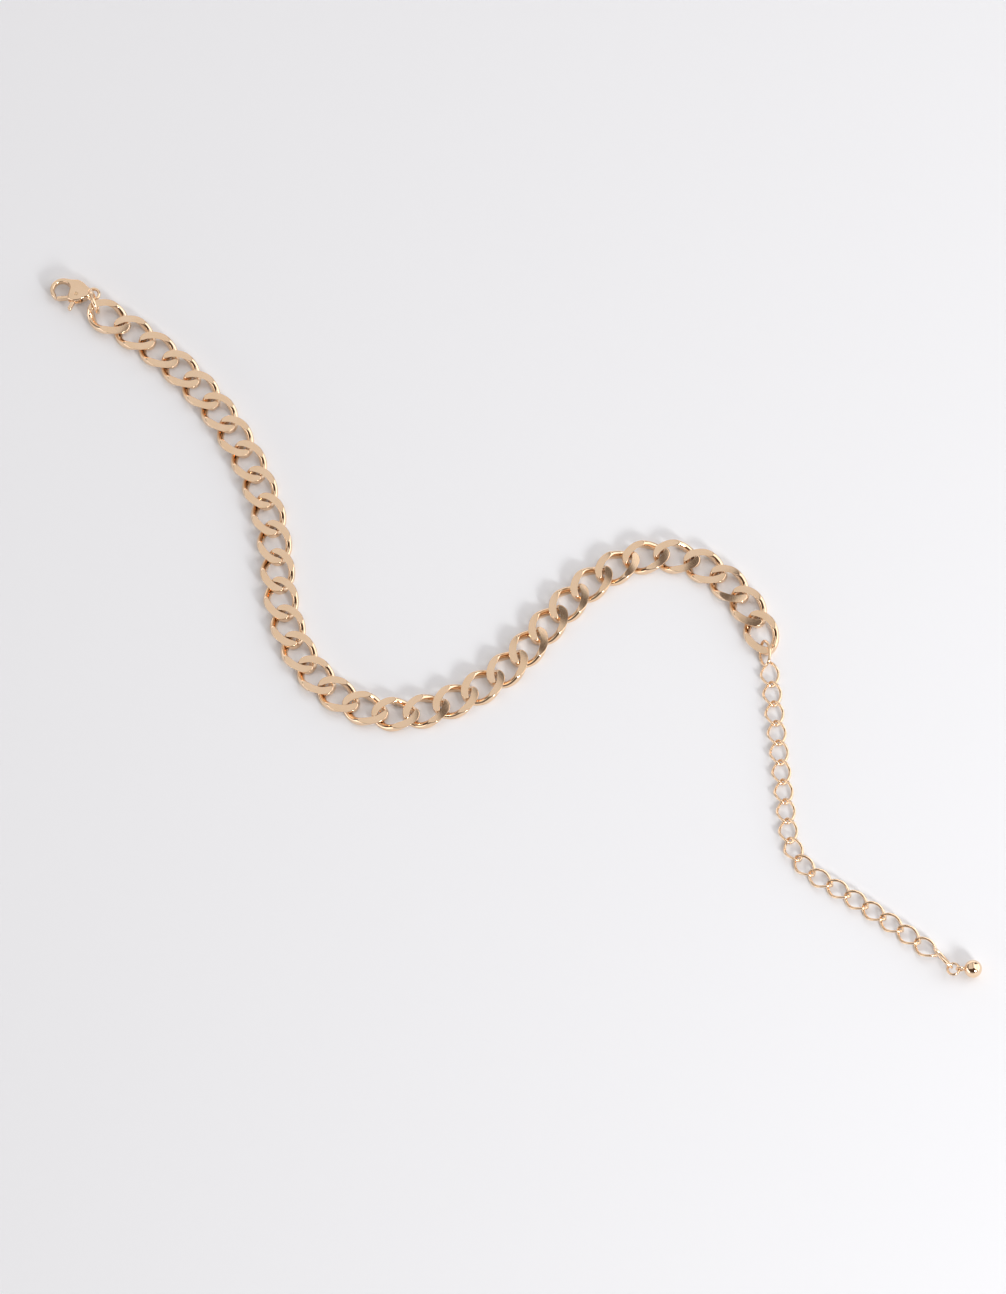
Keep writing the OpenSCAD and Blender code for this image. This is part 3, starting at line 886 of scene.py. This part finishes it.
spring_tree = bpy.data.node_groups.new("coil_spring", "GeometryNodeTree")
SPRING_INPUTS = {
    "Turns": "NodeSocketFloat",
    "Radius": "NodeSocketFloat",
    "Height": "NodeSocketFloat",
    "Wire": "NodeSocketFloat",
    "Finish": "NodeSocketMaterial",
}
SPRING_SOCKETS = {}
for name, kind in SPRING_INPUTS.items():
    made = spring_tree.interface.new_socket(name, in_out="INPUT", socket_type=kind)
    SPRING_SOCKETS[name] = made.identifier
spring_tree.interface.new_socket("Geometry", in_out="OUTPUT", socket_type="NodeSocketGeometry")
sized = add(spring_tree, "NodeGroupInput").outputs
spiral = add(spring_tree, "GeometryNodeCurveSpiral", {
    "Resolution": TURN_POINTS,
    "Rotations": sized["Turns"],
    "Start Radius": sized["Radius"],
    "End Radius": sized["Radius"],
    "Height": sized["Height"],
})
half_spring = add(spring_tree, "ShaderNodeMath", {0: sized["Wire"], 1: 0.5},
                  operation="MULTIPLY").outputs[0]
spring_section = add(spring_tree, "GeometryNodeCurvePrimitiveCircle",
                     {"Resolution": SECTION_POINTS, "Radius": half_spring})
coil = add(spring_tree, "GeometryNodeCurveToMesh",
           {"Curve": spiral.outputs[0], "Profile Curve": spring_section.outputs[0], "Fill Caps": True})
coil = add(spring_tree, "GeometryNodeSetShadeSmooth", {"Geometry": coil.outputs[0]})
coil = add(spring_tree, "GeometryNodeRealizeInstances", {"Geometry": coil.outputs[0]})
coil = add(spring_tree, "GeometryNodeSetMaterial", {"Geometry": coil.outputs[0], "Material": sized["Finish"]})
add(spring_tree, "NodeGroupOutput", {"Geometry": coil.outputs[0]})

SPRING = {"Turns": 2.75, "Radius": 0.74 * MM, "Height": 0.5 * MM, "Wire": 0.18 * MM, "Finish": STEEL}
SPRING_FOOT = 0.02  # above the lever's middle plane, in the recess
spring_lie = clasp_lie @ Matrix.Translation(Vector((*PIVOT, SPRING_FOOT)) * MM)
spring = grown("lever_spring", spring_tree, SPRING_SOCKETS, SPRING, spring_lie)
belongs(spring, "clasp_body", "rivet", "clasp_pin_and_spring")
print("spring faces:", len(spring.data.polygons))

# %% [markdown]
# ## The end ball
#
# A spun ball with a small ring soldered to it closes the extender. The fillet between
# them is the solder. Both are one piece once soldered, so both are one field. The ring
# stands upright. The CAD node's highest points give the ball's middle, and its farthest
# point, on the ring, gives the direction.

# %% End ball
BALL_R = 2.4
LOOP_R = 1.0
LOOP_WIRE_R = 0.3
SOLDER = 0.35
CAP_MM = 0.3  # the top of the ball, whose points lie round its middle
BALL_STEP = 0.08
BALL_BOX = ((-2.6, -2.6, -2.6), (5.0, 2.6, 2.6))

ball_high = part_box("end_ball")[1]
ball_points = points_of("end_ball")
ball_z = ball_high.z - BALL_R * MM
top = ball_points[ball_points[:, 2] > ball_high.z - CAP_MM * MM]
ball_middle = Vector((*top[:, :2].mean(0), ball_z))
far = ball_points[np.argmax(np.linalg.norm(ball_points - np.array(ball_middle), axis=1))]
to_loop = Vector((far[0] - ball_middle.x, far[1] - ball_middle.y, 0)).normalized()
sideways = Vector((0, 0, 1)).cross(to_loop)
ball_turn = Matrix((to_loop, sideways, Vector((0, 0, 1)))).transposed()
ball_lie = Matrix.Translation(ball_middle) @ ball_turn.to_4x4()
print("ball middle, mm:", [round(v / MM, 2) for v in ball_middle])


def ball_field(p):
    """A ball with an upright ring soldered on, the ring's axis across the chain."""
    ball = np.sqrt((p ** 2).sum(0)) - BALL_R
    loop_x = p[0] - (BALL_R + LOOP_R)
    ring = np.hypot(np.hypot(loop_x, p[2]) - LOOP_R, p[1]) - LOOP_WIRE_R
    return joined(ball, ring, SOLDER)


ball = cast("ball_drop", ball_field, *BALL_BOX, BALL_STEP, ball_lie, FINISHES["ball"])
belongs(ball, "end_ball", "ball", "end_ball")

# %% [markdown]
# ## Sizes and finish
#
# The two boxes are written down, so that the visual model can be compared with the CAD
# model.

# %% Sizes
low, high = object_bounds()
print("visual box, mm:", [round(v / MM, 1) for v in (high - low)])
